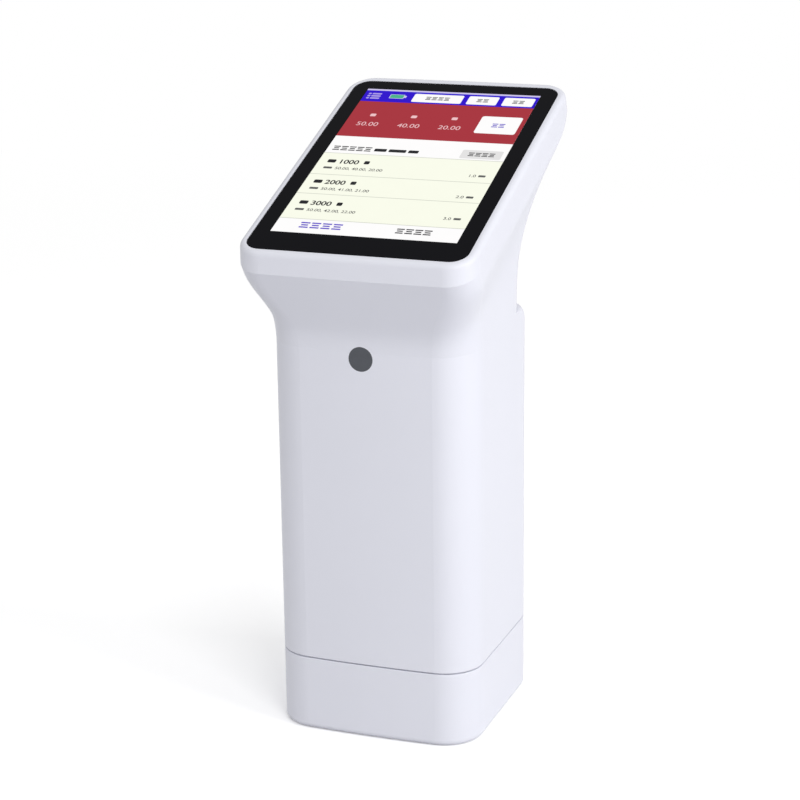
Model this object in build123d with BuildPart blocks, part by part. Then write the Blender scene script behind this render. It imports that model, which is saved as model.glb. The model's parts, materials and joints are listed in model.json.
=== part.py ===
from build123d import *
import os
from math import atan2, cos, degrees, radians, sin, tan

os.makedirs("parts", exist_ok=True)

# A color difference meter standing in its calibration base.
# Millimetres. +Z is up, +X is the user's right and -Y faces the user.
# The origin is the centre of the base's underside.

# Column, as wide and deep as the base below it
column_width = 54.8
column_depth = 55.2
face_crown = 1.1
column_corner = 10.3
column_wall = 2.2
shoulder_start = 103.5
shoulder_round = 4.5
shoulder_corner_growth = 2.2
flare_start = 104.0
cavity_margin = 0.5
hollow_step = 0.4
hollow_overlap = 2.0

# Neck, set back at the rear, and the flare up to the head
neck_setback = 8.0
neck_corner = 9.4
lip_bend = 3.5
underside_rise = 30.0
underside_curve = 38.6
back_corner_depth = 7.6
back_corner_round = 3.0
flare_side_from = 0.2
flare_side_to = 0.87

# Head, a slab along the tilted screen
screen_tilt = 20.3
screen_forward = 5.1
screen_height = 145.5
head_corner = 7.2
head_crown = 0.3
bezel_depth = 5.0
rim_side = 2.1
rim_front = 2.0
rim_back = 3.0
rim_round = 1.5
seam_height = 0.15
seam_depth = 0.3
tab_width = 8.0
tab_thickness = 0.9
tab_reach = 2.8
tab_spacing = 26.0

# Touch glass and display
glass_width = 57.8
glass_length = 86.2
glass_corner = 4.3
glass_thickness = 1.1
glass_edge = 0.15
glass_gap = 0.12
tape_thickness = 0.3
tape_width = 1.1
border_side = 4.42
border_top = 4.48
border_bottom = 8.28
display_border = 2.8
display_thickness = 2.4
display_corner = 1.0
display_gap = 0.25
tray_thickness = 0.8
tray_overlap = 0.9

# Calibration base
base_height = 20.0
base_wall = 2.0
base_floor = 2.2
base_bottom_round = 1.6
edge_round = 0.3
seam_gap = 0.3
slide_gap = 0.3
tile_radius = 13.0
tile_thickness = 4.0
cushion_thickness = 0.8
seat_wall = 1.6
part_gap = 0.15
seat_gap = 0.05
ring_lip = 3.0
ring_thickness = 0.7

# Foot of the meter, which stands inside the base
foot_bottom = 8.0
foot_thickness = 2.0
spigot_wall = 1.8
spigot_ledge = 3.5
boss_radius = 3.0
boss_inset = 7.7
boss_height = 14.0
screw_radius = 1.2
screw_length = 9.0
screw_head_radius = 2.3
screw_head_height = 1.3
screw_clearance = 0.1
magnet_radius = 3.0
magnet_thickness = 1.5
magnet_wall = 1.2
magnet_spacing = 40.0

# Measuring port
port_radius = 2.0
port_ring_radius = 6.0
port_ring_drop = 0.7
port_flange = 1.5
port_flange_thickness = 0.8
port_cone_radius = 4.2
window_radius = 5.5
window_thickness = 0.8

# Optical block
block_flange_radius = 21.5
block_flange_thickness = 3.0
block_radius = 19.0
block_skirt = 4.5
barrel_radius = 8.6
barrel_height = 8.5
sight_radius = 3.0
lamp_count = 8
lamp_radius = 2.4
lamp_length = 5.0
lamp_seat = 3.0
beam_radius = 1.5
lens_radius = 4.5
lens_edge = 1.2
lens_sag = 1.3
lens_depth = 4.0
lens_ring_height = 1.5
pillar_radius = 2.4
pillar_circle = 18.4
pillar_count = 4
board_thickness = 1.2
lamp_board_ledge = 0.4
lamp_board_radius = 15.8
sensor_size = 5.0
sensor_thickness = 1.1
sensor_board_size = 32.0
sensor_lift = 2.0

# Battery and its tray
battery_width = 34.0
battery_depth = 10.0
battery_height = 50.0
battery_bottom = 46.0
battery_corner = 2.0
tray_wall = 1.5
tray_rib_height = 2.4
tray_rib_width = 2.0
tray_rib_spacing = 24.0

# Charging socket on the back
socket_height = 50.0
socket_width = 8.94
socket_thickness = 3.2
socket_length = 7.3
socket_shell = 0.35
socket_setback = 0.6
tongue_width = 5.9
tongue_thickness = 0.64
tongue_setback = 1.2
charge_board_width = 16.0
charge_board_length = 14.0
shelf_width = 2.0
shelf_drop = 4.0

# Power button on the back, below the shoulder
button_drop = 13.5
button_radius = 4.4
button_clearance = 0.1
button_stand = 0.8
button_edge = 0.5
button_flange = 1.0
button_flange_thickness = 0.8
button_travel = 0.5
button_stem_radius = 1.6
button_stem_length = 1.2
switch_size = 6.0
switch_thickness = 3.4
switch_body = 2.4
button_board_width = 14.0
button_board_height = 22.0
button_post_radius = 2.0
button_post_spacing = 17.0

# Main board under the display
main_board_width = 48.0
main_board_length = 56.0
main_board_corner = 1.5
main_board_shift = 10.0
main_board_drop = 2.6
board_post_radius = 2.3
board_screw_radius = 0.9
board_screw_length = 3.2
board_screw_head = 1.8
board_screw_head_height = 0.9
board_screw_inset = 3.2
chip_corner = 0.6
radio_width = 12.0
radio_length = 16.0
radio_thickness = 2.2
radio_inset = (5.0, 8.0)
shield_width = 22.0
shield_length = 20.0
shield_thickness = 1.6
shield_inset = (5.0, 22.0)
buzzer_radius = 4.5
buzzer_thickness = 3.0
buzzer_inset = (7.5, 5.5)

# Dark round badge on the front
badge_radius = 3.2
badge_height = 102.3
badge_side = -1.0
badge_thickness = 0.3

cut_through = 1.0

column_front = -column_depth / 2
column_rear = column_depth / 2
column_bottom = base_height + seam_gap
head_width = glass_width + 2 * rim_side
neck_rear = column_rear - neck_setback


def slope_plane(depth):
    """The plane parallel to the glass and this far below its face, its Y up the slope."""
    face = Plane(
        origin=(0, screen_forward, screen_height),
        x_dir=(1, 0, 0),
        z_dir=(0, -sin(radians(screen_tilt)), cos(radians(screen_tilt))),
    )
    return face.offset(-depth)


def section_plane(front_point, rear_point):
    """The plane across the neck from a front point to a rear point, both given as (y, z)."""
    along = (rear_point[0] - front_point[0], rear_point[1] - front_point[1])
    return Plane(
        origin=(0, front_point[0], front_point[1]),
        x_dir=(1, 0, 0),
        z_dir=(0, -along[1], along[0]),
    )


def rear_plane(height, y=column_rear):
    """An upright plane at a place y, drawn from its centre line, its Z into the meter."""
    return Plane(origin=(0, y, height), x_dir=(1, 0, 0), z_dir=(0, -1, 0))


def crowned_outline(plane, width, front, rear, front_corner, rear_corner, crown):
    """A rounded rectangle whose front and rear edges bulge outwards by the crown."""
    side = width / 2
    with BuildSketch(plane) as outline:
        with BuildLine():
            ThreePointArc((-side, front + crown), (0, front), (side, front + crown))
            Line((side, front + crown), (side, rear - crown))
            ThreePointArc((side, rear - crown), (0, rear), (-side, rear - crown))
            Line((-side, rear - crown), (-side, front + crown))
        make_face()
        fillet(outline.vertices().sort_by(Axis.Y)[-2:], rear_corner)
        fillet(outline.vertices().sort_by(Axis.Y)[:2], front_corner)
    return outline.sketch


def column_outline(height, inset=0.0):
    """The column's outline at a height, drawn in by a wall or a clearance."""
    return crowned_outline(
        Plane.XY.offset(height),
        column_width - 2 * inset,
        column_front + inset,
        column_rear - inset,
        column_corner - inset,
        column_corner - inset,
        face_crown,
    )


def head_outline(depth, inset=0.0):
    """The head's outline on a plane below the glass face. Its front edge stays upright."""
    return crowned_outline(
        slope_plane(depth),
        head_width - 2 * inset,
        -glass_length / 2 - rim_front - depth * tan(radians(screen_tilt)) + inset,
        glass_length / 2 + rim_back - inset,
        head_corner - inset,
        head_corner - inset,
        head_crown,
    )


def slope_rectangle(depth, width, length, corner, margin=0.0):
    """A rounded rectangle centred under the glass, grown by a margin all round."""
    with BuildSketch(slope_plane(depth)) as outline:
        RectangleRounded(width + 2 * margin, length + 2 * margin, corner + margin)
    return outline.sketch


def slope_point(along, depth):
    """A point of the head's middle section as (y, z), from its place on the slope."""
    point = slope_plane(depth).from_local_coords((0, along, 0))
    return (point.Y, point.Z)


def save(piece, name):
    """Label a finished piece and write it."""
    piece.part.label = name
    export_step(piece.part, f"parts/{name}.step")


# Side view of the flare: one rail up the front and one up the back
lip_along = -glass_length / 2 - rim_front - bezel_depth * tan(radians(screen_tilt))
lip_point = slope_point(lip_along, bezel_depth)
back_point = slope_point(glass_length / 2 + rim_back, bezel_depth)
back_corner = slope_point(glass_length / 2 + rim_back, back_corner_depth)
lip_lean = atan2(column_front - lip_point[0], lip_point[1] - flare_start - lip_bend)
lip_curve = lip_bend / tan(lip_lean / 2)
neck_turn = back_corner[1] - (back_corner[0] - neck_rear) * tan(radians(underside_rise))
shoulder_top = shoulder_start + shoulder_round
ledge_edge = column_rear - shoulder_round
ledge_slope = (shoulder_top - flare_start) / (ledge_edge - column_front)
neck_foot = flare_start + (neck_rear - column_front) * ledge_slope

with BuildLine(Plane.YZ) as front_rail:
    bend = JernArc((column_front, flare_start), (0, 1), lip_curve, degrees(lip_lean))
    Line(bend @ 1, lip_point)
with BuildLine(Plane.YZ) as back_rail:
    FilletPolyline(
        (neck_rear, neck_foot),
        (neck_rear, neck_turn),
        back_corner,
        back_point,
        radius=[underside_curve, back_corner_round],
    )


def rail_point(rail, share, inset, side):
    """A point on a rail as (y, z), moved into the shell by an inset. Side is 1 at the front."""
    wire = rail.wire()
    place = wire.position_at(share)
    way = wire.tangent_at(share)
    return (place.Y + side * inset * way.Z, place.Z - side * inset * way.Y)


def flare_width(share):
    """The neck's width grows smoothly to the head's."""
    step = (share - flare_side_from) / (flare_side_to - flare_side_from)
    step = min(max(step, 0.0), 1.0)
    return column_width + (head_width - column_width) * step * step * (3 - 2 * step)


def flare_outline(share, inset=0.0, lift=0.0):
    """One section of the flare, from the column (share 0) to the bezel seam (share 1)."""
    up = (-lift * sin(radians(screen_tilt)), lift * cos(radians(screen_tilt)))
    front = rail_point(front_rail, share, inset, 1)
    rear = rail_point(back_rail, share, inset, -1)
    front = (front[0] + up[0], front[1] + up[1])
    rear = (rear[0] + up[0], rear[1] + up[1])
    length = ((rear[0] - front[0]) ** 2 + (rear[1] - front[1]) ** 2) ** 0.5
    front_corner = column_corner + (head_corner - column_corner) * share - inset
    rear_corner = neck_corner + (head_corner - neck_corner) * share - inset
    crown = face_crown + (head_crown - face_crown) * share
    plane = section_plane(front, rear)
    width = flare_width(share) - 2 * inset
    return crowned_outline(plane, width, 0, length, front_corner, rear_corner, crown)


def shoulder_outline(angle):
    """One section of the rounded shoulder, from upright at 0 to the ledge at 90 degrees."""
    drawn_in = shoulder_round * (1 - cos(radians(angle)))
    rear = (column_rear - drawn_in, shoulder_start + shoulder_round * sin(radians(angle)))
    front = (column_front, shoulder_start + (flare_start - shoulder_start) * angle / 90)
    length = ((rear[0] - front[0]) ** 2 + (rear[1] - front[1]) ** 2) ** 0.5
    corner = column_corner + shoulder_corner_growth * drawn_in / shoulder_round
    plane = section_plane(front, rear)
    return crowned_outline(plane, column_width, 0, length, column_corner, corner, face_crown)


# Heights and faces that more than one piece shares
spigot_inset = base_wall + slide_gap
spigot_bottom = foot_bottom + foot_thickness
ledge_top = column_bottom + spigot_ledge
cavity_top = flare_start + cavity_margin
inner_front = column_front + column_wall
inner_rear = column_rear - column_wall
boss_grid = (column_width - 2 * boss_inset, column_depth - 2 * boss_inset)
tile_bottom = base_floor + cushion_thickness
tile_top = tile_bottom + tile_thickness
seat_radius = tile_radius + part_gap
magnet_hole = magnet_radius + seat_gap
base_magnet_top = foot_bottom - slide_gap

active_width = glass_width - 2 * border_side
active_length = glass_length - border_top - border_bottom
active_shift = (border_bottom - border_top) / 2
display_width = active_width + 2 * display_border
display_length = active_length + 2 * display_border + 2 * active_shift
tray_width = display_width - 2 * tray_overlap
display_face = glass_thickness + tape_thickness
tray_face = display_face + display_thickness
post_face = tray_face + tray_thickness
board_face = post_face + main_board_drop
board_back = board_face + board_thickness
board_screw_grid = (
    main_board_width - 2 * board_screw_inset,
    main_board_length - 2 * board_screw_inset,
)

button_height = shoulder_start - button_drop
board_left = -main_board_width / 2
board_low = -main_board_shift - main_board_length / 2
radio_place = (
    board_left + radio_inset[0] + radio_width / 2,
    board_low + radio_inset[1] + radio_length / 2,
)
shield_place = (
    -board_left - shield_inset[0] - shield_width / 2,
    board_low + shield_inset[1] + shield_length / 2,
)
buzzer_place = (
    -board_left - buzzer_inset[0] - buzzer_radius,
    board_low + buzzer_inset[1] + buzzer_radius,
)

charge_board_top = socket_height - socket_thickness / 2
charge_board_bottom = charge_board_top - board_thickness
button_flange_face = inner_rear - 2 * part_gap
button_stem_end = button_flange_face - button_flange_thickness - button_stem_length
switch_face = button_stem_end - button_travel - part_gap
button_board_face = switch_face - switch_thickness
rib_face = inner_front + tray_rib_height
tray_bottom = battery_bottom - tray_wall
tray_height = battery_height + 2 * tray_wall

# Angles round the shoulder and places up the flare at which its sections stand
shoulder_angles = (0, 30, 60, 90)
flare_shares = [step / 10 for step in range(11)]
hollow_shares = [step / 20 for step in range(2, 20)]

# Calibration base: an open cup with a round seat for the white tile
with BuildPart() as calibration_base:
    extrude(column_outline(0), amount=base_height)
    fillet(calibration_base.faces().sort_by(Axis.Z)[0].edges(), base_bottom_round)
    fillet(calibration_base.faces().sort_by(Axis.Z)[-1].edges(), edge_round)
    extrude(column_outline(base_floor, base_wall), amount=base_height, mode=Mode.SUBTRACT)
    with BuildSketch(Plane.XY.offset(base_floor)):
        Circle(seat_radius + seat_wall)
        Circle(seat_radius, mode=Mode.SUBTRACT)
    extrude(amount=tile_top - base_floor)
    with BuildSketch(Plane.XY.offset(base_floor)):
        with GridLocations(0, magnet_spacing, 1, 2):
            Circle(magnet_hole + magnet_wall)
    extrude(amount=base_magnet_top - base_floor)
    with BuildSketch(Plane.XY.offset(base_magnet_top)):
        with GridLocations(0, magnet_spacing, 1, 2):
            Circle(magnet_hole)
    extrude(amount=-magnet_thickness, mode=Mode.SUBTRACT)
save(calibration_base, "calibration_base")

with BuildPart() as tile_cushion:
    with BuildSketch(Plane.XY.offset(base_floor)):
        Circle(tile_radius)
    extrude(amount=cushion_thickness)
save(tile_cushion, "tile_cushion")

with BuildPart() as calibration_tile:
    with BuildSketch(Plane.XY.offset(tile_bottom)):
        Circle(tile_radius)
    extrude(amount=tile_thickness)
    chamfer(calibration_tile.faces().sort_by(Axis.Z)[-1].edges(), edge_round)
save(calibration_tile, "calibration_tile")

with BuildPart() as tile_ring:
    with BuildSketch(Plane.XY.offset(tile_top)):
        Circle(seat_radius + seat_wall)
        Circle(tile_radius - ring_lip, mode=Mode.SUBTRACT)
    extrude(amount=ring_thickness)
save(tile_ring, "tile_ring")


def magnet_pair(bottom):
    """Two disc magnets, front and rear, standing on this height."""
    with BuildPart() as pair:
        with BuildSketch(Plane.XY.offset(bottom)):
            with GridLocations(0, magnet_spacing, 1, 2):
                Circle(magnet_radius)
        extrude(amount=magnet_thickness)
    return pair


save(magnet_pair(base_magnet_top - magnet_thickness), "base_magnets")
save(magnet_pair(spigot_bottom - magnet_thickness), "foot_magnets")

# Main housing: column, rounded shoulder at the back, neck and flare in one moulding
with BuildPart() as main_housing:
    extrude(column_outline(column_bottom), amount=shoulder_start - column_bottom)
    fillet(main_housing.faces().sort_by(Axis.Z)[0].edges(), edge_round)
    loft([shoulder_outline(angle) for angle in shoulder_angles])
    loft([flare_outline(share) for share in flare_shares])
    extrude(column_outline(spigot_bottom, spigot_inset), amount=column_bottom - spigot_bottom)
    spigot_bore = column_outline(spigot_bottom, spigot_inset + spigot_wall)
    extrude(spigot_bore, amount=ledge_top - spigot_bottom, mode=Mode.SUBTRACT)
    cavity = column_outline(ledge_top, column_wall)
    extrude(cavity, amount=cavity_top - ledge_top, mode=Mode.SUBTRACT)
    hollow_inset = column_wall + hollow_step
    hollow_foot = crowned_outline(
        Plane.XY.offset(cavity_top - hollow_overlap),
        column_width - 2 * hollow_inset,
        column_front + hollow_inset,
        neck_rear - hollow_inset,
        column_corner - hollow_inset,
        neck_corner - hollow_inset,
        face_crown,
    )
    hollow = [flare_outline(share, column_wall) for share in hollow_shares]
    hollow_mouth = flare_outline(1, column_wall, cut_through)
    loft([hollow_foot, *hollow, hollow_mouth], ruled=True, mode=Mode.SUBTRACT)
    # Screw bosses in the corners
    with BuildSketch(Plane.XY.offset(spigot_bottom)):
        with GridLocations(*boss_grid, 2, 2):
            Circle(boss_radius)
    extrude(amount=boss_height)
    with BuildSketch(Plane.XY.offset(spigot_bottom)):
        with GridLocations(*boss_grid, 2, 2):
            Circle(screw_radius)
    extrude(amount=screw_length, mode=Mode.SUBTRACT)
    # Ribs that carry the battery tray on the front wall
    with BuildSketch(Plane.XY.offset(tray_bottom)):
        with Locations((0, (inner_front + rib_face) / 2 - part_gap)):
            with GridLocations(tray_rib_spacing, 0, 2, 1):
                Rectangle(tray_rib_width, tray_rib_height + 2 * part_gap)
    extrude(amount=tray_height)
    # Shelves under the charging board on the rear wall
    with BuildSketch(Plane.XY.offset(charge_board_bottom)):
        with Locations((0, inner_rear - charge_board_length / 2 + part_gap)):
            with GridLocations(charge_board_width - shelf_width, 0, 2, 1):
                Rectangle(shelf_width, charge_board_length)
    extrude(amount=-shelf_drop)
    # Posts for the button board
    with BuildSketch(rear_plane(button_height, inner_rear + part_gap)):
        with GridLocations(0, button_post_spacing, 1, 2):
            Circle(button_post_radius)
    extrude(amount=inner_rear + part_gap - button_board_face)
    # Openings for the socket and the button, and the shallow seat of the badge
    with BuildSketch(rear_plane(socket_height, column_rear + cut_through)):
        SlotOverall(socket_width + 2 * part_gap, socket_thickness + 2 * part_gap)
    extrude(amount=column_wall + 2 * cut_through, mode=Mode.SUBTRACT)
    with BuildSketch(rear_plane(button_height, column_rear + cut_through)):
        Circle(button_radius + button_clearance)
    extrude(amount=column_wall + 2 * cut_through, mode=Mode.SUBTRACT)
    with BuildSketch(rear_plane(badge_height, column_front + badge_thickness)):
        with Locations((badge_side, 0)):
            Circle(badge_radius)
    extrude(amount=badge_thickness + cut_through, mode=Mode.SUBTRACT)
save(main_housing, "main_housing")

with BuildPart() as front_badge:
    with BuildSketch(rear_plane(badge_height, column_front + badge_thickness)):
        with Locations((badge_side, 0)):
            Circle(badge_radius)
    extrude(amount=badge_thickness)
save(front_badge, "front_badge")

# Head bezel: the white rim around the glass, held by tabs inside the flare
with BuildPart() as head_bezel:
    loft([head_outline(0), head_outline(bezel_depth)], ruled=True)
    outward = Axis((0, 0, 0), slope_plane(0).z_dir)
    fillet(head_bezel.faces().sort_by(outward)[-1].edges(), rim_round)
    seam_line = head_outline(bezel_depth) - head_outline(bezel_depth, seam_depth)
    extrude(seam_line, amount=seam_height, mode=Mode.SUBTRACT)
    glass_seat = slope_rectangle(0, glass_width, glass_length, glass_corner, glass_gap)
    extrude(glass_seat, amount=-display_face, mode=Mode.SUBTRACT)
    window = slope_rectangle(display_face, display_width, display_length, display_corner, display_gap)
    extrude(window, amount=-bezel_depth, mode=Mode.SUBTRACT)
    tray_pocket = slope_rectangle(
        tray_face, tray_width, display_length, display_corner, tray_overlap + part_gap
    )
    extrude(tray_pocket, amount=-bezel_depth, mode=Mode.SUBTRACT)
    with BuildSketch(slope_plane(bezel_depth - part_gap)):
        tab_middle = head_width / 2 - column_wall - 2 * part_gap - tab_thickness / 2
        with GridLocations(2 * tab_middle, tab_spacing, 2, 3):
            Rectangle(tab_thickness, tab_width)
    extrude(amount=-tab_reach)
save(head_bezel, "head_bezel")

with BuildPart() as glass_tape:
    tape_outside = slope_rectangle(glass_thickness, glass_width, glass_length, glass_corner)
    extrude(tape_outside, amount=-tape_thickness)
    tape_inside = slope_rectangle(
        glass_thickness, glass_width, glass_length, glass_corner, -tape_width
    )
    extrude(tape_inside, amount=-tape_thickness, mode=Mode.SUBTRACT)
save(glass_tape, "glass_tape")

with BuildPart() as touch_glass:
    extrude(
        slope_rectangle(0, glass_width, glass_length, glass_corner), amount=-glass_thickness
    )
    chamfer(touch_glass.faces().sort_by(outward)[-1].edges(), glass_edge)
save(touch_glass, "touch_glass")

with BuildPart() as display_panel:
    extrude(
        slope_rectangle(display_face, display_width, display_length, display_corner),
        amount=-display_thickness,
    )
save(display_panel, "display_panel")

# Display tray: a thin plate that closes the back of the bezel and carries the main board
with BuildPart() as display_tray:
    tray_outline = slope_rectangle(
        tray_face, tray_width, display_length, display_corner, tray_overlap
    )
    extrude(tray_outline, amount=-tray_thickness)
    with BuildSketch(slope_plane(post_face)):
        with Locations((0, -main_board_shift)):
            with GridLocations(*board_screw_grid, 2, 2):
                Circle(board_post_radius)
    extrude(amount=-main_board_drop)
    with BuildSketch(slope_plane(board_face)):
        with Locations((0, -main_board_shift)):
            with GridLocations(*board_screw_grid, 2, 2):
                Circle(board_screw_radius)
    extrude(amount=board_screw_length - board_thickness, mode=Mode.SUBTRACT)
save(display_tray, "display_tray")

with BuildPart() as main_board:
    with BuildSketch(slope_plane(board_face)):
        with Locations((0, -main_board_shift)):
            RectangleRounded(main_board_width, main_board_length, main_board_corner)
            with GridLocations(*board_screw_grid, 2, 2):
                Circle(board_screw_radius + screw_clearance, mode=Mode.SUBTRACT)
    extrude(amount=-board_thickness)
save(main_board, "main_board")

with BuildPart() as board_screws:
    with BuildSketch(slope_plane(board_back)):
        with Locations((0, -main_board_shift)):
            with GridLocations(*board_screw_grid, 2, 2):
                Circle(board_screw_head)
    extrude(amount=-board_screw_head_height)
    with BuildSketch(slope_plane(board_back)):
        with Locations((0, -main_board_shift)):
            with GridLocations(*board_screw_grid, 2, 2):
                Circle(board_screw_radius)
    extrude(amount=board_screw_length)
save(board_screws, "board_screws")

with BuildPart() as radio_module:
    with BuildSketch(slope_plane(board_back)):
        with Locations(radio_place):
            RectangleRounded(radio_width, radio_length, chip_corner)
    extrude(amount=-radio_thickness)
save(radio_module, "radio_module")

with BuildPart() as processor_shield:
    with BuildSketch(slope_plane(board_back)):
        with Locations(shield_place):
            RectangleRounded(shield_width, shield_length, chip_corner)
    extrude(amount=-shield_thickness)
save(processor_shield, "processor_shield")

with BuildPart() as buzzer:
    with BuildSketch(slope_plane(board_back)):
        with Locations(buzzer_place):
            Circle(buzzer_radius)
    extrude(amount=-buzzer_thickness)
save(buzzer, "buzzer")

# Foot plate with its four screws
with BuildPart() as foot_plate:
    extrude(column_outline(foot_bottom, spigot_inset), amount=foot_thickness)
    fillet(foot_plate.faces().sort_by(Axis.Z)[0].edges(), edge_round)
    with BuildSketch(Plane.XY.offset(foot_bottom)):
        Circle(port_ring_radius + seat_gap)
    extrude(amount=foot_thickness, mode=Mode.SUBTRACT)
    with BuildSketch(Plane.XY.offset(spigot_bottom)):
        Circle(port_ring_radius + port_flange + seat_gap)
    extrude(amount=-port_flange_thickness, mode=Mode.SUBTRACT)
    with BuildSketch(Plane.XY.offset(spigot_bottom)):
        with GridLocations(0, magnet_spacing, 1, 2):
            Circle(magnet_hole)
    extrude(amount=-magnet_thickness, mode=Mode.SUBTRACT)
    with Locations(Plane(origin=(0, 0, foot_bottom), z_dir=(0, 0, -1))):
        with GridLocations(*boss_grid, 2, 2):
            CounterBoreHole(
                screw_radius + screw_clearance,
                screw_head_radius + screw_clearance,
                screw_head_height,
                foot_thickness,
            )
save(foot_plate, "foot_plate")

with BuildPart() as foot_screws:
    with BuildSketch(Plane.XY.offset(foot_bottom)):
        with GridLocations(*boss_grid, 2, 2):
            Circle(screw_head_radius)
    extrude(amount=screw_head_height)
    with BuildSketch(Plane.XY.offset(foot_bottom)):
        with GridLocations(*boss_grid, 2, 2):
            Circle(screw_radius)
    extrude(amount=screw_length)
save(foot_screws, "foot_screws")

# Measuring port: a dark ring with a small round aperture, and its window
port_bottom = foot_bottom - port_ring_drop
with BuildPart() as port_ring:
    with BuildSketch(Plane.XZ):
        with BuildLine():
            Polyline(
                (port_radius, port_bottom),
                (port_ring_radius, port_bottom),
                (port_ring_radius, spigot_bottom - port_flange_thickness),
                (port_ring_radius + port_flange, spigot_bottom - port_flange_thickness),
                (port_ring_radius + port_flange, spigot_bottom),
                (port_cone_radius, spigot_bottom),
                close=True,
            )
        make_face()
    revolve(axis=Axis.Z)
save(port_ring, "port_ring")

with BuildPart() as port_window:
    with BuildSketch(Plane.XY.offset(spigot_bottom)):
        Circle(window_radius)
    extrude(amount=window_thickness)
save(port_window, "port_window")

# Optical block: lamps shine in at 45 degrees and the lens looks straight down
shoulder_foot = spigot_bottom + block_skirt + block_flange_thickness
block_shoulder_top = shoulder_foot + block_radius - barrel_radius - lamp_board_ledge
barrel_top = block_shoulder_top + barrel_height
sample_height = port_bottom
lamp_reach = (block_radius + shoulder_foot - sample_height) / 2
lens_bottom = barrel_top - lens_ring_height - lens_depth
pillar_places = PolarLocations(pillar_circle, pillar_count, start_angle=45)
sensor_board_bottom = barrel_top + sensor_lift


def lamp_plane(turn):
    """The plane on the block's cone where one lamp sits, looking in at the sample."""
    angle = radians((turn + 0.5) * 360 / lamp_count)
    place = (lamp_reach * cos(angle), lamp_reach * sin(angle), lamp_reach + sample_height)
    return Plane(origin=place, z_dir=(-cos(angle), -sin(angle), -1))


lamp_planes = [lamp_plane(turn) for turn in range(lamp_count)]

with BuildPart() as optical_block:
    with BuildSketch(Plane.XZ):
        with BuildLine():
            Polyline(
                (0, spigot_bottom),
                (block_flange_radius, spigot_bottom),
                (block_flange_radius, spigot_bottom + block_flange_thickness),
                (block_radius, spigot_bottom + block_flange_thickness),
                (block_radius, shoulder_foot),
                (barrel_radius + lamp_board_ledge, block_shoulder_top),
                (barrel_radius, block_shoulder_top),
                (barrel_radius, barrel_top),
                (0, barrel_top),
                close=True,
            )
        make_face()
    revolve(axis=Axis.Z)
    with BuildSketch(Plane.XY.offset(spigot_bottom)):
        with pillar_places:
            Circle(pillar_radius)
    extrude(amount=sensor_board_bottom - spigot_bottom)
    with BuildSketch(Plane.XY.offset(spigot_bottom)):
        Circle(window_radius + part_gap)
    extrude(amount=window_thickness + part_gap, mode=Mode.SUBTRACT)
    with BuildSketch(Plane.XY.offset(barrel_top)):
        Circle(sight_radius)
    extrude(amount=-(barrel_top - spigot_bottom), mode=Mode.SUBTRACT)
    with BuildSketch(Plane.XY.offset(lens_bottom)):
        Circle(lens_radius + seat_gap)
    extrude(amount=barrel_top - lens_bottom, mode=Mode.SUBTRACT)
    for plane in lamp_planes:
        with BuildSketch(plane):
            Circle(lamp_radius + seat_gap)
        extrude(amount=lamp_seat, mode=Mode.SUBTRACT)
        with BuildSketch(plane):
            Circle(beam_radius)
        extrude(amount=lamp_reach, mode=Mode.SUBTRACT)
save(optical_block, "optical_block")

with BuildPart() as lamps:
    for plane in lamp_planes:
        with BuildSketch(plane.offset(lamp_seat)):
            Circle(lamp_radius)
        extrude(amount=-lamp_length)
save(lamps, "lamps")

with BuildPart() as lamp_board:
    with BuildSketch(Plane.XY.offset(block_shoulder_top)):
        Circle(lamp_board_radius)
        Circle(barrel_radius + part_gap, mode=Mode.SUBTRACT)
    extrude(amount=board_thickness)
save(lamp_board, "lamp_board")

# Collecting lens: flat below, domed above, under a threaded ring
dome_foot = lens_radius - 2 * part_gap
dome_radius = (dome_foot**2 + lens_sag**2) / (2 * lens_sag)
rim_top = lens_bottom + lens_edge
with BuildPart() as collecting_lens:
    with BuildSketch(Plane.XZ):
        with BuildLine():
            Polyline(
                (0, lens_bottom), (lens_radius, lens_bottom), (lens_radius, rim_top), (dome_foot, rim_top)
            )
            RadiusArc((dome_foot, rim_top), (0, rim_top + lens_sag), -dome_radius)
            Line((0, rim_top + lens_sag), (0, lens_bottom))
        make_face()
    revolve(axis=Axis.Z)
save(collecting_lens, "collecting_lens")

with BuildPart() as lens_ring:
    with BuildSketch(Plane.XY.offset(lens_bottom + lens_edge)):
        Circle(lens_radius)
        Circle(dome_foot, mode=Mode.SUBTRACT)
    extrude(amount=barrel_top - lens_bottom - lens_edge)
    with BuildSketch(Plane.XY.offset(barrel_top - lens_ring_height)):
        Circle(lens_radius)
        Circle(sight_radius, mode=Mode.SUBTRACT)
    extrude(amount=lens_ring_height)
save(lens_ring, "lens_ring")

with BuildPart() as sensor_board:
    with BuildSketch(Plane.XY.offset(sensor_board_bottom)):
        RectangleRounded(sensor_board_size, sensor_board_size, pillar_radius)
    extrude(amount=board_thickness)
save(sensor_board, "sensor_board")

with BuildPart() as color_sensor:
    with BuildSketch(Plane.XY.offset(sensor_board_bottom)):
        Rectangle(sensor_size, sensor_size)
    extrude(amount=-sensor_thickness)
save(color_sensor, "color_sensor")

# Battery pack in an open tray on the front wall
battery_front = rib_face + tray_wall
with BuildPart() as battery_tray:
    with BuildSketch(Plane.XY.offset(tray_bottom)):
        with Locations((0, rib_face + (tray_wall + battery_depth) / 2)):
            Rectangle(battery_width + 2 * tray_wall, tray_wall + battery_depth)
    extrude(amount=tray_height)
    with BuildSketch(Plane.XY.offset(battery_bottom)):
        with Locations((0, battery_front + battery_depth / 2)):
            Rectangle(battery_width + 2 * part_gap, battery_depth)
    extrude(amount=battery_height, mode=Mode.SUBTRACT)
save(battery_tray, "battery_tray")

with BuildPart() as battery_pack:
    with BuildSketch(Plane.XY.offset(battery_bottom)):
        with Locations((0, battery_front + battery_depth / 2)):
            RectangleRounded(battery_width, battery_depth, battery_corner)
    extrude(amount=battery_height)
save(battery_pack, "battery_pack")

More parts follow.
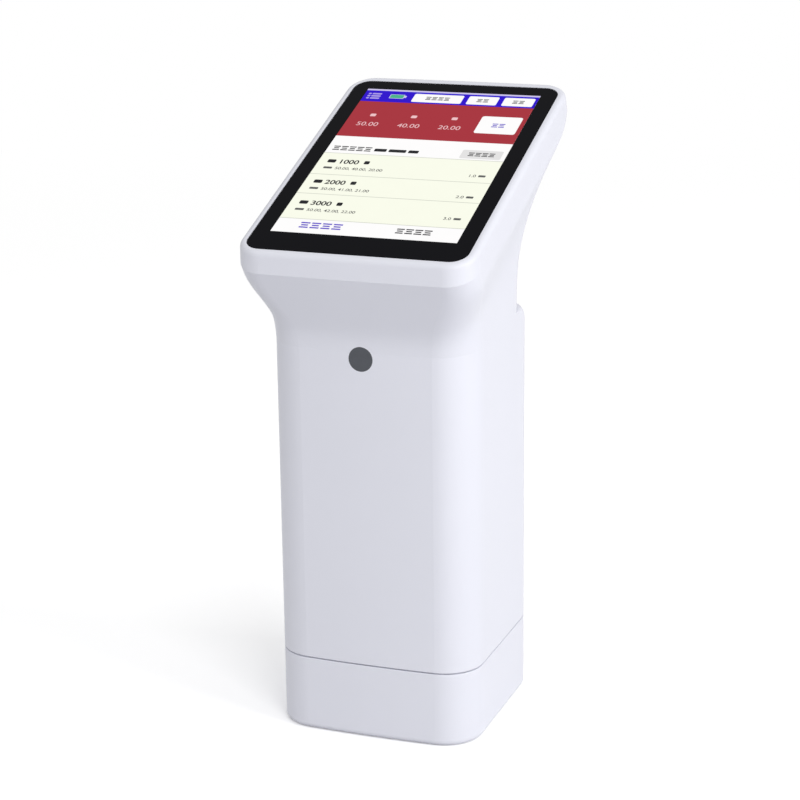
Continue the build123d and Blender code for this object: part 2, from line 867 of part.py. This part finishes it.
# Charging socket and its board
with BuildPart() as charge_board:
    with BuildSketch(Plane.XY.offset(charge_board_bottom)):
        with Locations((0, inner_rear - charge_board_length / 2 - part_gap)):
            Rectangle(charge_board_width, charge_board_length)
    extrude(amount=board_thickness)
save(charge_board, "charge_board")

with BuildPart() as charge_socket:
    with BuildSketch(rear_plane(socket_height, column_rear - socket_setback)):
        SlotOverall(socket_width, socket_thickness)
    extrude(amount=socket_length)
    with BuildSketch(rear_plane(socket_height, column_rear - socket_setback)):
        SlotOverall(socket_width - 2 * socket_shell, socket_thickness - 2 * socket_shell)
    extrude(amount=socket_length - 2 * socket_shell, mode=Mode.SUBTRACT)
    tongue_face = column_rear - socket_setback - tongue_setback
    with BuildSketch(rear_plane(socket_height, tongue_face)):
        Rectangle(tongue_width, tongue_thickness)
    extrude(amount=socket_length - tongue_setback - socket_shell)
save(charge_socket, "charge_socket")

# Power button, its switch and the board behind it
with BuildPart() as power_button:
    with BuildSketch(rear_plane(button_height, column_rear + button_stand)):
        Circle(button_radius)
    extrude(amount=column_rear + button_stand - button_flange_face)
    fillet(power_button.faces().sort_by(Axis.Y)[-1].edges(), button_edge)
    with BuildSketch(rear_plane(button_height, button_flange_face)):
        Circle(button_radius + button_flange)
    extrude(amount=button_flange_thickness)
    with BuildSketch(rear_plane(button_height, button_flange_face)):
        Circle(button_stem_radius)
    extrude(amount=button_flange_face - button_stem_end)
save(power_button, "power_button")

with BuildPart() as button_switch:
    with BuildSketch(rear_plane(button_height, switch_face)):
        Circle(button_stem_radius)
    extrude(amount=switch_thickness)
    with BuildSketch(rear_plane(button_height, button_board_face)):
        Rectangle(switch_size, switch_size)
    extrude(amount=-switch_body)
save(button_switch, "button_switch")

with BuildPart() as button_board:
    with BuildSketch(rear_plane(button_height, button_board_face)):
        Rectangle(button_board_width, button_board_height)
    extrude(amount=board_thickness)
save(button_board, "button_board")
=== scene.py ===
"""A color difference meter in its calibration base: materials, the lit screen, light and camera."""

import json
import math

import bmesh
import bpy
from mathutils import Matrix, Vector


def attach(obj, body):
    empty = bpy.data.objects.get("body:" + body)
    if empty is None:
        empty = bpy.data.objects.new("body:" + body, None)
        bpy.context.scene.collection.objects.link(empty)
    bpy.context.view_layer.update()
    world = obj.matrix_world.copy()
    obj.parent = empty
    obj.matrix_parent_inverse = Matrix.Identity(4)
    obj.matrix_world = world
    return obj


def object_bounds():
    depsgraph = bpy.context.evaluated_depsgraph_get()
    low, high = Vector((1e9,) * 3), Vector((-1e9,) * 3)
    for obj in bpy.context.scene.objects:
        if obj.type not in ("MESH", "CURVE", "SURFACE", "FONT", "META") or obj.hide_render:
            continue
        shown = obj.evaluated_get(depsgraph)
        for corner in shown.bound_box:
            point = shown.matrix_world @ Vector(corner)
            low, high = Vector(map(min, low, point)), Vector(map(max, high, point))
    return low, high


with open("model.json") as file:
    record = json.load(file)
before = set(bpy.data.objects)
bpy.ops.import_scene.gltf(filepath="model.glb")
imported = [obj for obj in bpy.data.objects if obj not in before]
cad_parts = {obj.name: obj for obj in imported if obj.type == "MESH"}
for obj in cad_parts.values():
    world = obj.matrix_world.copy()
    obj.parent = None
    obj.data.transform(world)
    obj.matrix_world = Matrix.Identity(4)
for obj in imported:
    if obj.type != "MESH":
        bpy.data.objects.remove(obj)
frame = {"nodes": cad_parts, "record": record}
cad_low, cad_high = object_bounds()
nodes = frame["nodes"]
MM = 0.001

# A noise texture's values lie mostly between these two.
NOISE_LOW = 0.3
NOISE_HIGH = 0.7

# Places of a colour mix node's sockets
MIX_SHARE = 0
MIX_FIRST = 6
MIX_SECOND = 7
MIX_RESULT = 2

# How the display looks through its cover glass
SCREEN_ROUGHNESS = 0.08
SCREEN_SPECULAR = 0.02
SCREEN_GLOW = 0.95


# Colours are written as they look on a screen, from 0 to 255.
def linear(red, green, blue):
    def channel(value):
        share = value / 255
        return share / 12.92 if share <= 0.04045 else ((share + 0.055) / 1.055) ** 2.4

    return (channel(red), channel(green), channel(blue), 1.0)


def scaled(color, factor):
    return tuple(min(part * factor, 1.0) for part in color[:3]) + (1.0,)


def new_material(name):
    material = bpy.data.materials.new(name)
    material.use_nodes = True
    tree = material.node_tree
    return material, tree, tree.nodes["Principled BSDF"]


def link(tree, output, entry):
    tree.links.new(output, entry)


def noise(tree, size, detail=3.0, stretch=None):
    """A noise in the object's own space, whose blobs are about this size in metres."""
    place = tree.nodes.new("ShaderNodeTexCoord")
    texture = tree.nodes.new("ShaderNodeTexNoise")
    texture.inputs["Scale"].default_value = 1 / size
    texture.inputs["Detail"].default_value = detail
    if stretch:
        mapping = tree.nodes.new("ShaderNodeMapping")
        mapping.inputs["Scale"].default_value = stretch
        link(tree, place.outputs["Object"], mapping.inputs["Vector"])
        link(tree, mapping.outputs["Vector"], texture.inputs["Vector"])
    else:
        link(tree, place.outputs["Object"], texture.inputs["Vector"])
    return texture.outputs["Fac"]


def between(tree, factor, low, high):
    """A number that runs from low to high with the factor."""
    span = tree.nodes.new("ShaderNodeMapRange")
    span.inputs["From Min"].default_value = NOISE_LOW
    span.inputs["From Max"].default_value = NOISE_HIGH
    span.inputs["To Min"].default_value = low
    span.inputs["To Max"].default_value = high
    link(tree, factor, span.inputs["Value"])
    return span.outputs["Result"]


def blended(tree, factor, first, second):
    """A colour between two, by the factor."""
    mix = tree.nodes.new("ShaderNodeMix")
    mix.data_type = "RGBA"
    mix.inputs[MIX_FIRST].default_value = first
    mix.inputs[MIX_SECOND].default_value = second
    link(tree, factor, mix.inputs[MIX_SHARE])
    return mix.outputs[MIX_RESULT]


def surface(
    name,
    color,
    roughness,
    metallic=0.0,
    patch=0.02,
    tone=0.03,
    gloss_spread=0.05,
    grain=0.0003,
    relief=0.1,
    depth=0.00002,
    specular=0.5,
    stretch=None,
):
    """A moulded, cast or plated finish: slow changes of tone and gloss, and a fine relief."""
    material, tree, shader = new_material(name)
    slow = noise(tree, patch)
    share = between(tree, slow, 0.0, 1.0)
    tinted = blended(tree, share, scaled(color, 1 - tone), scaled(color, 1 + tone))
    link(tree, tinted, shader.inputs["Base Color"])
    shine = between(tree, slow, roughness - gloss_spread / 2, roughness + gloss_spread / 2)
    link(tree, shine, shader.inputs["Roughness"])
    bump = tree.nodes.new("ShaderNodeBump")
    bump.inputs["Strength"].default_value = relief
    bump.inputs["Distance"].default_value = depth
    link(tree, noise(tree, grain, 4.0, stretch), bump.inputs["Height"])
    link(tree, bump.outputs["Normal"], shader.inputs["Normal"])
    shader.inputs["Metallic"].default_value = metallic
    shader.inputs["Specular IOR Level"].default_value = specular
    return material


def screen_paint(name, color):
    """A colour shown by the display behind the cover glass."""
    material, tree, shader = new_material(name)
    speck = noise(tree, 0.004)
    lit = blended(tree, speck, scaled(color, 0.985), scaled(color, 1.0))
    link(tree, lit, shader.inputs["Emission Color"])
    shader.inputs["Emission Strength"].default_value = SCREEN_GLOW
    unlit = blended(tree, speck, scaled(color, 0.05), scaled(color, 0.06))
    link(tree, unlit, shader.inputs["Base Color"])
    shader.inputs["Roughness"].default_value = SCREEN_ROUGHNESS
    shader.inputs["Specular IOR Level"].default_value = SCREEN_SPECULAR
    return material


white_plastic = surface(
    "white_plastic",
    linear(227, 228, 237),
    0.42,
    patch=0.03,
    tone=0.006,
    gloss_spread=0.05,
    grain=0.00025,
    relief=0.12,
    depth=0.00001,
)
materials = {
    "white_plastic": white_plastic,
    "black_plastic": surface("black_plastic", linear(34, 34, 36), 0.5),
    "black_rubber": surface("black_rubber", linear(28, 28, 28), 0.85, relief=0.5, grain=0.0006),
    "white_ceramic": surface("white_ceramic", linear(240, 240, 237), 0.12, relief=0.03),
    "nickel": surface("nickel", linear(200, 198, 190), 0.22, metallic=1.0),
    "dark_badge": surface("dark_badge", linear(70, 73, 80), 0.38, patch=0.002, tone=0.06),
    "screen_glass": surface(
        "screen_glass",
        linear(15, 15, 19),
        SCREEN_ROUGHNESS,
        patch=0.02,
        tone=0.05,
        gloss_spread=0.01,
        relief=0.02,
        specular=SCREEN_SPECULAR,
    ),
    "display": surface("display", linear(60, 60, 66), 0.3),
    "circuit_board": surface("circuit_board", linear(22, 92, 50), 0.35, patch=0.006, tone=0.12),
    "steel": surface("steel", linear(196, 196, 198), 0.3, metallic=1.0, stretch=(1, 1, 12)),
    "black_aluminium": surface("black_aluminium", linear(40, 40, 42), 0.4, metallic=0.6),
    "optical_glass": surface("optical_glass", linear(236, 242, 246), 0.03, relief=0.01),
    "lamp_plastic": surface("lamp_plastic", linear(240, 236, 222), 0.15, relief=0.05),
    "battery_wrap": surface("battery_wrap", linear(48, 86, 140), 0.3, tone=0.08),
}

slot_of = {part["node"]: part["material_slot"] for part in frame["record"]["subparts"]}
for name, node in nodes.items():
    node.data.materials.clear()
    node.data.materials.append(materials[slot_of[name]])

# The lit screen, in millimetres: all that it shows is flat tiles just above the face of the glass.
SCREEN_WIDTH = 48.96
SCREEN_LENGTH = 73.44
SCREEN_SHIFT = 1.9
FIRST_LAYER = 0.02
LAYER_STEP = 0.012
CORNER_STEPS = 6
FIGURE_SHARE = 0.73
BAR_CORNER_SHARE = 0.22
MARK_HEIGHT_IN_STROKES = 4.7
MARK_WIDTH_SHARE = 0.84
MARK_RISE_SHARE = 0.38
MARK_TRIM_SHARE = 0.12


def glass_frame():
    """The middle of the glass's face, with X to the right, Y up the slope and Z out of it."""
    mesh = nodes["touch_glass"].data
    facing = max((p for p in mesh.polygons if p.normal.z > 0.5), key=lambda p: p.area)
    out = facing.normal.normalized()
    right = Vector((1, 0, 0))
    up = out.cross(right).normalized()
    height = max(v.co.dot(out) for v in mesh.vertices)
    along = [v.co.dot(up) for v in mesh.vertices]
    middle = up * (min(along) + max(along)) / 2 + out * height
    turn = Matrix((right, up, out)).transposed().to_4x4()
    return Matrix.Translation(middle) @ turn


class Picture:
    """Collects flat shapes, in millimetres on the screen, into one mesh."""

    def __init__(self, name):
        self.mesh = bmesh.new()
        self.name = name
        self.paints = []

    def index(self, paint):
        if paint not in self.paints:
            self.paints.append(paint)
        return self.paints.index(paint)

    def tile(self, paint, left, right, bottom, top, layer=0, corner=0.0):
        """A rectangle with round corners."""
        height = FIRST_LAYER + layer * LAYER_STEP
        steps = CORNER_STEPS if corner else 0
        outline = []
        for x, y, start in (
            (right - corner, top - corner, 0),
            (left + corner, top - corner, 90),
            (left + corner, bottom + corner, 180),
            (right - corner, bottom + corner, 270),
        ):
            for step in range(steps + 1):
                angle = math.radians(start + 90 * step / max(steps, 1))
                outline.append((x + corner * math.cos(angle), y + corner * math.sin(angle)))
        ring = [self.mesh.verts.new((x * MM, y * MM, height * MM)) for x, y in outline]
        self.mesh.faces.new(ring).material_index = self.index(paint)

    def number(self, paint, text, x, y, height, layer=3, align="CENTER", weight=0.0):
        """A number whose figures stand this tall, its middle line at y."""
        curve = bpy.data.curves.new("number", "FONT")
        curve.body = text
        curve.size = height / FIGURE_SHARE * MM
        curve.align_x = align
        curve.offset = weight * MM
        writing = bpy.data.objects.new("number", curve)
        bpy.context.scene.collection.objects.link(writing)
        bpy.context.view_layer.update()
        shown = writing.evaluated_get(bpy.context.evaluated_depsgraph_get())
        flat = bpy.data.meshes.new_from_object(shown)
        place = Vector((x, y - height / 2, FIRST_LAYER + layer * LAYER_STEP)) * MM
        flat.transform(Matrix.Translation(place))
        faces = len(self.mesh.faces)
        self.mesh.from_mesh(flat)
        self.mesh.faces.ensure_lookup_table()
        for face in self.mesh.faces[faces:]:
            face.material_index = self.index(paint)
        bpy.data.objects.remove(writing)
        bpy.data.curves.remove(curve)
        bpy.data.meshes.remove(flat)

    def words(self, paint, left, middle, height, lengths, gap=0.7, layer=3):
        """A line of plain bars that stand for words."""
        bottom = middle - height / 2
        top = middle + height / 2
        for length in lengths:
            self.tile(paint, left, left + length, bottom, top, layer, height * BAR_CORNER_SHARE)
            left += length + gap

    def marks(self, paint, middle, y, height, count, pitch, layer=3):
        """A row of plain marks of three strokes each, centred at a place."""
        stroke = height / MARK_HEIGHT_IN_STROKES
        width = pitch * MARK_WIDTH_SHARE
        for step in range(count):
            left = middle + (step - (count - 1) / 2) * pitch - width / 2
            for level in (-1, 0, 1):
                centre = y + level * height * MARK_RISE_SHARE
                trim = 0 if level else MARK_TRIM_SHARE * width
                bottom = centre - stroke / 2
                self.tile(paint, left + trim, left + width - trim, bottom, bottom + stroke, layer)

    def finish(self, place):
        data = bpy.data.meshes.new(self.name)
        self.mesh.to_mesh(data)
        self.mesh.free()
        for paint in self.paints:
            data.materials.append(paint)
        picture = bpy.data.objects.new(self.name, data)
        bpy.context.scene.collection.objects.link(picture)
        picture.matrix_world = place
        return picture


lavender = screen_paint("screen_lavender", linear(206, 198, 236))
violet = screen_paint("screen_violet", linear(46, 10, 205))
lilac = screen_paint("screen_lilac", linear(176, 160, 232))
green = screen_paint("screen_green", linear(72, 178, 140))
white = screen_paint("screen_white", linear(254, 253, 253))
crimson = screen_paint("screen_crimson", linear(168, 52, 62))
pink = screen_paint("screen_pink", linear(240, 196, 200))
grey = screen_paint("screen_grey", linear(228, 227, 227))
cream = screen_paint("screen_cream", linear(250, 252, 236))
divider = screen_paint("screen_divider", linear(205, 208, 196))
ink = screen_paint("screen_ink", linear(40, 40, 44))
soft_ink = screen_paint("screen_soft_ink", linear(96, 96, 96))
blue_ink = screen_paint("screen_blue_ink", linear(96, 76, 200))

# Edges of the screen's bands above its middle, half a dividing line, and the menu's lines
STATUS_FOOT = 35.9
HEADER_FOOT = 29.9
PANEL_FOOT = 11.0
ROW_EDGES = (2.1, -8.7, -18.3, -30.3)
DIVIDER_HALF = 0.12
MENU_TOP = 34.48
MENU_PITCH = 1.2
MENU_STROKE = 0.76
MENU_CORNER = 0.25

side = SCREEN_WIDTH / 2
end = SCREEN_LENGTH / 2
picture = Picture("screen_picture")
picture.tile(white, -side, side, -end, end, 0)
picture.tile(lavender, -side, side, STATUS_FOOT, end, 1)
picture.tile(violet, -side, side, HEADER_FOOT, STATUS_FOOT, 1)
picture.tile(crimson, -side, side, PANEL_FOOT, HEADER_FOOT, 1)
for row, edge in enumerate(ROW_EDGES):
    if row < len(ROW_EDGES) - 1:
        picture.tile(cream, -side, side, ROW_EDGES[row + 1], edge, 1)
    picture.tile(divider, -side, side, edge - DIVIDER_HALF, edge + DIVIDER_HALF, 2)

# Header bar: menu, battery and three buttons
for line in range(3):
    line_top = MENU_TOP - line * MENU_PITCH
    line_foot = line_top - MENU_STROKE
    picture.tile(lilac, -23.4, -22.6, line_foot, line_top, 2, MENU_CORNER)
    picture.tile(lilac, -22.3, -19.6, line_foot, line_top, 2, MENU_CORNER)
picture.tile(lavender, -17.0, -12.8, 31.95, 34.15, 2, 0.3)
picture.tile(lavender, -12.8, -12.2, 32.5, 33.6, 2, 0.2)
picture.tile(green, -16.8, -13.0, 32.15, 33.95, 3, 0.2)
for left, right, count in ((-10.2, 3.8, 4), (5.3, 13.7, 2), (15.2, 23.7, 2)):
    picture.tile(white, left, right, 30.6, 35.0, 2, 0.5)
    picture.marks(ink, (left + right) / 2, 32.8, 1.7, count, 1.75)

# Measured values and the measuring button
for x, reading in ((-18.1, "50.00"), (-6.5, "40.00"), (4.9, "20.00")):
    picture.words(pink, x - 0.8, 22.6, 1.4, (1.6,))
    picture.number(pink, reading, x, 17.9, 2.05)
picture.tile(white, 12.1, 23.3, 15.8, 24.7, 2, 0.7)
picture.marks(blue_ink, 17.7, 20.1, 2.0, 2, 1.9)

# Title row
picture.marks(ink, -17.6, 4.7, 2.2, 5, 2.2)
picture.words(ink, -11.4, 4.6, 1.45, (3.4, 4.8, 2.8), 0.6)
picture.tile(grey, 12.3, 23.3, 2.8, 7.1, 2, 0.5)
picture.marks(ink, 17.8, 4.95, 1.8, 4, 1.85)

# Three matches, each with a number, its values and a difference
for row, y in enumerate((-2.0, -12.3, -22.6)):
    picture.words(ink, -22.0, y, 1.6, (2.3,))
    picture.number(ink, f"{row + 1}000", -18.9, y, 2.05, align="LEFT", weight=0.06)
    picture.words(ink, -11.9, y, 1.6, (1.5,))
    picture.words(soft_ink, -22.0, y - 3.35, 0.95, (2.4,))
    values = f"50.00, {40 + row}.00, {20 + row}.00"
    picture.number(soft_ink, values, -18.8, y - 3.35, 1.25, align="LEFT", weight=0.02)
    picture.number(soft_ink, f"{row + 1}.0", 19.6, y - 3.5, 1.25, align="RIGHT", weight=0.02)
    picture.words(soft_ink, 20.2, y - 3.5, 0.95, (1.9,))

# Two tabs
picture.marks(blue_ink, -12.3, -33.1, 2.7, 4, 2.9)
picture.marks(ink, 12.2, -33.1, 2.3, 4, 2.4)

screen_picture = picture.finish(glass_frame() @ Matrix.Translation((0, SCREEN_SHIFT * MM, 0)))
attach(screen_picture, "meter")

# Floor, light and background
FLOOR_SIZE = 12.0
FLOOR_NEAR = 0.25
FLOOR_FAR = 0.9
FLOOR_SEEN = 1.35
FLOOR_GAP = 0.00005
WORLD_LIGHT = 0.65


def seen_directly(tree, *kinds):
    """1 for the rays of these kinds, and 0 for the light that bounces."""
    rays = tree.nodes.new("ShaderNodeLightPath")
    total = rays.outputs[kinds[0]]
    for kind in kinds[1:]:
        either = tree.nodes.new("ShaderNodeMath")
        either.operation = "MAXIMUM"
        link(tree, total, either.inputs[0])
        link(tree, rays.outputs[kind], either.inputs[1])
        total = either.outputs["Value"]
    return total


def floor_material():
    """A pale floor. It keeps the shadow near the object and is plain white further out."""
    material, tree, shader = new_material("pale_floor")
    seen = seen_directly(tree, "Is Camera Ray", "Is Glossy Ray", "Is Transmission Ray")
    speck = noise(tree, 0.3)
    plain = blended(tree, speck, linear(194, 194, 197), linear(198, 198, 201))
    bright = blended(tree, speck, (FLOOR_SEEN,) * 3 + (1.0,), (FLOOR_SEEN * 1.01,) * 3 + (1.0,))
    mix = tree.nodes.new("ShaderNodeMix")
    mix.data_type = "RGBA"
    link(tree, seen, mix.inputs[MIX_SHARE])
    link(tree, plain, mix.inputs[MIX_FIRST])
    link(tree, bright, mix.inputs[MIX_SECOND])
    link(tree, mix.outputs[MIX_RESULT], shader.inputs["Base Color"])
    shader.inputs["Roughness"].default_value = 1.0
    shader.inputs["Specular IOR Level"].default_value = 0.0
    place = tree.nodes.new("ShaderNodeTexCoord")
    length = tree.nodes.new("ShaderNodeVectorMath")
    length.operation = "LENGTH"
    link(tree, place.outputs["Object"], length.inputs[0])
    fade = tree.nodes.new("ShaderNodeMapRange")
    fade.interpolation_type = "SMOOTHSTEP"
    fade.inputs["From Min"].default_value = FLOOR_NEAR
    fade.inputs["From Max"].default_value = FLOOR_FAR
    link(tree, length.outputs["Value"], fade.inputs["Value"])
    far = tree.nodes.new("ShaderNodeMath")
    far.operation = "MULTIPLY"
    link(tree, fade.outputs["Result"], far.inputs[0])
    link(tree, seen, far.inputs[1])
    white_light = tree.nodes.new("ShaderNodeEmission")
    white_light.inputs["Strength"].default_value = 1.0
    join = tree.nodes.new("ShaderNodeMixShader")
    link(tree, far.outputs["Value"], join.inputs[0])
    link(tree, shader.outputs["BSDF"], join.inputs[1])
    link(tree, white_light.outputs["Emission"], join.inputs[2])
    link(tree, join.outputs["Shader"], tree.nodes["Material Output"].inputs["Surface"])
    return material


bpy.ops.mesh.primitive_plane_add(size=FLOOR_SIZE, location=(0, 0, -FLOOR_GAP))
floor = bpy.context.active_object
floor.name = "floor"
floor.data.materials.append(floor_material())

world = bpy.data.worlds.new("studio")
bpy.context.scene.world = world
world.use_nodes = True
backdrop = world.node_tree.nodes["Background"]
backdrop.inputs["Color"].default_value = (1, 1, 1, 1)
strength = world.node_tree.nodes.new("ShaderNodeMapRange")
strength.inputs["To Min"].default_value = WORLD_LIGHT
strength.inputs["To Max"].default_value = 1.0
link(
    world.node_tree,
    seen_directly(world.node_tree, "Is Camera Ray", "Is Transmission Ray"),
    strength.inputs["Value"],
)
link(world.node_tree, strength.outputs["Result"], backdrop.inputs["Strength"])


def lamp(name, place, aim, width, power):
    """A square soft light at a place in metres, aimed at a point."""
    data = bpy.data.lights.new(name, "AREA")
    data.shape = "SQUARE"
    data.size = width
    data.energy = power
    light = bpy.data.objects.new(name, data)
    bpy.context.scene.collection.objects.link(light)
    light.location = place
    light.rotation_mode = "QUATERNION"
    light.rotation_quaternion = (Vector(aim) - Vector(place)).to_track_quat("-Z", "Y")


LAMPS = {
    "front_right_softbox": ((0.707, -0.843, 0.5), 0.5, 4.0),
    "right_softbox": ((1.083, -0.191, 0.5), 0.5, 4.7),
    "left_softbox": ((-1.0, -0.5, 0.3), 0.6, 0.4),
}
object_middle = (cad_low + cad_high) / 2
for name, (place, width, power) in LAMPS.items():
    lamp(name, place, object_middle, width, power)

# Camera, as it stood for the photograph
EYE = Vector((0.198264, -0.532366, 0.249882))
LOOK_RIGHT = Vector((0.93769899, 0.34724718, -0.0118319))
LOOK_DOWN = Vector((0.08657032, -0.26648126, -0.95994444))
LOOK_AHEAD = Vector((-0.33649097, 0.89911464, -0.27994051))
camera_data = bpy.data.cameras.new("camera")
camera_data.sensor_width = 36.0
camera_data.lens = 101.76
camera = bpy.data.objects.new("camera", camera_data)
bpy.context.scene.collection.objects.link(camera)
turn = Matrix((LOOK_RIGHT, -LOOK_DOWN, -LOOK_AHEAD)).transposed().to_4x4()
camera.matrix_world = Matrix.Translation(EYE) @ turn
bpy.context.scene.camera = camera
bpy.context.scene.view_settings.view_transform = "Standard"
